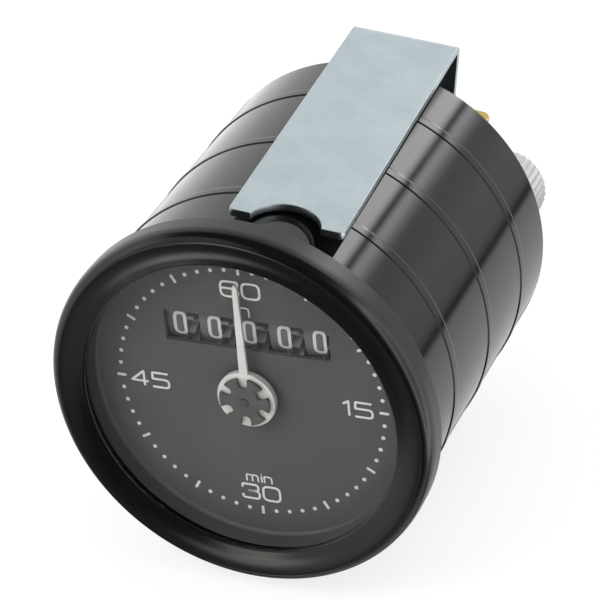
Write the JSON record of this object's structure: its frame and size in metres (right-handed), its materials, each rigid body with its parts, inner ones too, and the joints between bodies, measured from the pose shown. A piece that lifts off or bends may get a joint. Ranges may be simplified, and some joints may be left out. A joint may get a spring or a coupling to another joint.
{
  "type": "hour meter",
  "caption": "Round panel hour meter with a minute dial and hand, a drum counter in a window, a running indicator, a deep cup case and a U-shaped clamp bracket.",
  "frame": {"origin": "on the case axis, in the plane where the back of the bezel meets the panel", "axes": "+Y from the dial to the rear along the case axis, +Z towards twelve o'clock, +X towards three o'clock"},
  "size_m": [0.0556, 0.0704, 0.0568],
  "materials": {
    "case_plastic": "polished moulded black",
    "bezel_black": "satin black",
    "lens_clear": "clear",
    "rubber": "matt",
    "ring_grey": "matt dark grey",
    "dial_grey": "matt grey print",
    "hand_white": "matt white",
    "indicator_dark": "matt dark grey",
    "drum_grey": "matt dark grey",
    "pinion_natural": "natural plastic",
    "brass": "turned or stamped",
    "steel": "bright",
    "zinc": "blue-bright zinc plate",
    "plate_dark": "matt",
    "gearbox_ivory": "moulded",
    "board_green": "lacquered board",
    "chip_black": "matt",
    "capacitor_blue": "sleeved",
    "lamp_white": "moulded white",
    "bulb_clear": "clear"
  },
  "bodies": {
    "housing": {"case": "case_plastic", "bezel": "bezel_black", "lens": "lens_clear", "lens_seal": "rubber", "dial_ring": "ring_grey", "dial": "dial_grey", "drum_axle": "steel", "pinion_axle": "steel", "counter_frame": "steel", "frame_screws": "steel", "movement_plate": "plate_dark", "gearbox_front": "gearbox_ivory", "gearbox_rear": "gearbox_ivory", "gearbox_screws": "steel", "motor": "steel", "board_pillars": "brass", "circuit_board": "board_green", "driver_chip": "chip_black", "quartz_crystal": "steel", "capacitor": "capacitor_blue", "case_studs": "zinc", "case_washers": "zinc", "case_nuts": "zinc", "blade_terminals": "brass"},
    "hand": {"minute_hand": "hand_white", "hand_arbor": "brass"},
    "indicator": {"running_indicator": "indicator_dark", "indicator_spindle": "steel"},
    "counter_drive": {"drive_pinion": "brass"},
    "counter_units": {"drum_units": "drum_grey"},
    "counter_tens": {"drum_tens": "drum_grey"},
    "carry_tens": {"transfer_pinion_tens": "pinion_natural"},
    "counter_hundreds": {"drum_hundreds": "drum_grey"},
    "carry_hundreds": {"transfer_pinion_hundreds": "pinion_natural"},
    "counter_thousands": {"drum_thousands": "drum_grey"},
    "carry_thousands": {"transfer_pinion_thousands": "pinion_natural"},
    "counter_ten_thousands": {"drum_ten_thousands": "drum_grey"},
    "carry_ten_thousands": {"transfer_pinion_ten_thousands": "pinion_natural"},
    "clamp": {"mounting_bracket": "zinc", "bracket_washers": "zinc"},
    "upper_nut": {"thumb_nut_upper": "brass"},
    "lower_nut": {"thumb_nut_lower": "brass"},
    "lamp": {"lamp_holder": "lamp_white", "lamp_bulb": "bulb_clear"}
  },
  "joints": [
    {"name": "hand_turn", "type": "hinge", "parent": "housing", "child": "hand", "pos_m": [0, 0, 0], "axis": [0, 1, 0], "continuous": true},
    {"name": "indicator_turn", "type": "hinge", "parent": "housing", "child": "indicator", "pos_m": [0, 0, 0], "axis": [0, 1, 0], "continuous": true},
    {"name": "counter_drive_turn", "type": "hinge", "parent": "housing", "child": "counter_drive", "pos_m": [0.0098, 0.0093, 0.0002], "axis": [1, 0, 0], "continuous": true},
    {"name": "units_turn", "type": "hinge", "parent": "housing", "child": "counter_units", "pos_m": [0.0098, 0.0093, 0.0093], "axis": [-1, 0, 0], "continuous": true},
    {"name": "tens_turn", "type": "hinge", "parent": "housing", "child": "counter_tens", "pos_m": [0.0047, 0.0093, 0.0093], "axis": [-1, 0, 0], "continuous": true},
    {"name": "carry_tens_turn", "type": "hinge", "parent": "housing", "child": "carry_tens", "pos_m": [0.0072, 0.01627, 0.01515], "axis": [1, 0, 0], "continuous": true},
    {"name": "hundreds_turn", "type": "hinge", "parent": "housing", "child": "counter_hundreds", "pos_m": [-0.0004, 0.0093, 0.0093], "axis": [-1, 0, 0], "continuous": true},
    {"name": "carry_hundreds_turn", "type": "hinge", "parent": "housing", "child": "carry_hundreds", "pos_m": [0.0021, 0.01627, 0.01515], "axis": [1, 0, 0], "continuous": true},
    {"name": "thousands_turn", "type": "hinge", "parent": "housing", "child": "counter_thousands", "pos_m": [-0.0055, 0.0093, 0.0093], "axis": [-1, 0, 0], "continuous": true},
    {"name": "carry_thousands_turn", "type": "hinge", "parent": "housing", "child": "carry_thousands", "pos_m": [-0.003, 0.01627, 0.01515], "axis": [1, 0, 0], "continuous": true},
    {"name": "ten_thousands_turn", "type": "hinge", "parent": "housing", "child": "counter_ten_thousands", "pos_m": [-0.0106, 0.0093, 0.0093], "axis": [-1, 0, 0], "continuous": true},
    {"name": "carry_ten_thousands_turn", "type": "hinge", "parent": "housing", "child": "carry_ten_thousands", "pos_m": [-0.0081, 0.01627, 0.01515], "axis": [1, 0, 0], "continuous": true},
    {"name": "clamp_slide", "type": "slide", "parent": "housing", "child": "clamp", "axis": [0, 1, 0], "range_m": [-0.00175, 0.0021]},
    {"name": "upper_nut_turn", "type": "hinge", "parent": "clamp", "child": "upper_nut", "pos_m": [0.0023, 0.05894, 0.01634], "axis": [0, 1, 0], "range_deg": [-901, 1081]},
    {"name": "lower_nut_turn", "type": "hinge", "parent": "clamp", "child": "lower_nut", "pos_m": [-0.0023, 0.05894, -0.01634], "axis": [0, 1, 0], "range_deg": [-901, 1081]},
    {"name": "lamp_turn", "type": "hinge", "parent": "housing", "child": "lamp", "pos_m": [0.01809, 0.0502, 0.00362], "axis": [0, 1, 0], "range_deg": [0, 60]}
  ],
  "couplings": [
    {"joint": "indicator_turn", "follows": "hand_turn", "ratio": 12},
    {"joint": "counter_drive_turn", "follows": "hand_turn", "ratio": 0.25},
    {"joint": "units_turn", "follows": "hand_turn", "ratio": 0.1},
    {"joint": "tens_turn", "follows": "hand_turn", "ratio": 0.01},
    {"joint": "carry_tens_turn", "follows": "hand_turn", "ratio": 0.025},
    {"joint": "hundreds_turn", "follows": "hand_turn", "ratio": 0.001},
    {"joint": "carry_hundreds_turn", "follows": "hand_turn", "ratio": 0.0025},
    {"joint": "thousands_turn", "follows": "hand_turn", "ratio": 0.0001},
    {"joint": "carry_thousands_turn", "follows": "hand_turn", "ratio": 0.00025},
    {"joint": "ten_thousands_turn", "follows": "hand_turn", "ratio": 0.00001},
    {"joint": "carry_ten_thousands_turn", "follows": "hand_turn", "ratio": 0.000025},
    {"joint": "upper_nut_turn", "follows": "clamp_slide", "rad_per_m": 8976},
    {"joint": "lower_nut_turn", "follows": "clamp_slide", "rad_per_m": 8976}
  ]
}
